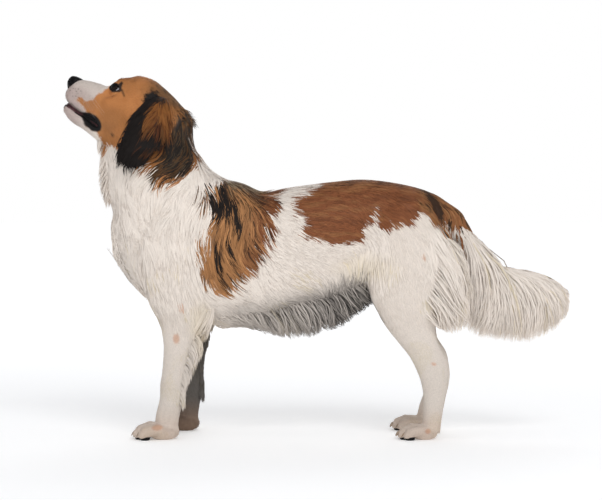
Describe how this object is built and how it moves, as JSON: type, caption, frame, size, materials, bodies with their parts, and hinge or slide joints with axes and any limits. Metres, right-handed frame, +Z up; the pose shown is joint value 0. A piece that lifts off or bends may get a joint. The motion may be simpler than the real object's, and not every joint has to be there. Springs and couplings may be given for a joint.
{
  "type": "dog",
  "caption": "Life-size standing decoy spaniel, nose raised, mouth just parted, with long fringed ears, a ruff and a plumed tail; white with red-brown patches.",
  "frame": {"origin": "on the floor, under the middle of the dog's overall length and width", "axes": "-X towards the nose, +X towards the tail, +Y to the dog's right side, +Z up"},
  "size_m": [0.7862, 0.168, 0.5591],
  "materials": {
    "coat_white": "long silky white coat",
    "coat_red": "red-brown coat",
    "coat_dark": "black-tipped ear fringe",
    "nose_leather": "moist black",
    "eye": "dark brown, wet",
    "claw": "horn"
  },
  "bodies": {
    "root": {"torso": "coat_white", "neck": "coat_white", "head": "coat_red", "lower_jaw": "coat_white", "nose": "nose_leather", "ear_left": "coat_dark", "ear_right": "coat_dark", "eye_left": "eye", "eye_right": "eye", "upper_foreleg_left": "coat_white", "forearm_left": "coat_white", "forepaw_left": "coat_white", "thigh_left": "coat_white", "shank_left": "coat_white", "hock_left": "coat_white", "hind_paw_left": "coat_white", "upper_foreleg_right": "coat_white", "forearm_right": "coat_white", "forepaw_right": "coat_white", "thigh_right": "coat_white", "shank_right": "coat_white", "hock_right": "coat_white", "hind_paw_right": "coat_white", "claw_fore_left_1": "claw", "claw_fore_left_2": "claw", "claw_fore_left_3": "claw", "claw_fore_left_4": "claw", "claw_hind_left_1": "claw", "claw_hind_left_2": "claw", "claw_hind_left_3": "claw", "claw_hind_left_4": "claw", "claw_fore_right_1": "claw", "claw_fore_right_2": "claw", "claw_fore_right_3": "claw", "claw_fore_right_4": "claw", "claw_hind_right_1": "claw", "claw_hind_right_2": "claw", "claw_hind_right_3": "claw", "claw_hind_right_4": "claw", "tail_root": "coat_red", "tail_plume": "coat_white"}
  },
  "joints": []
}
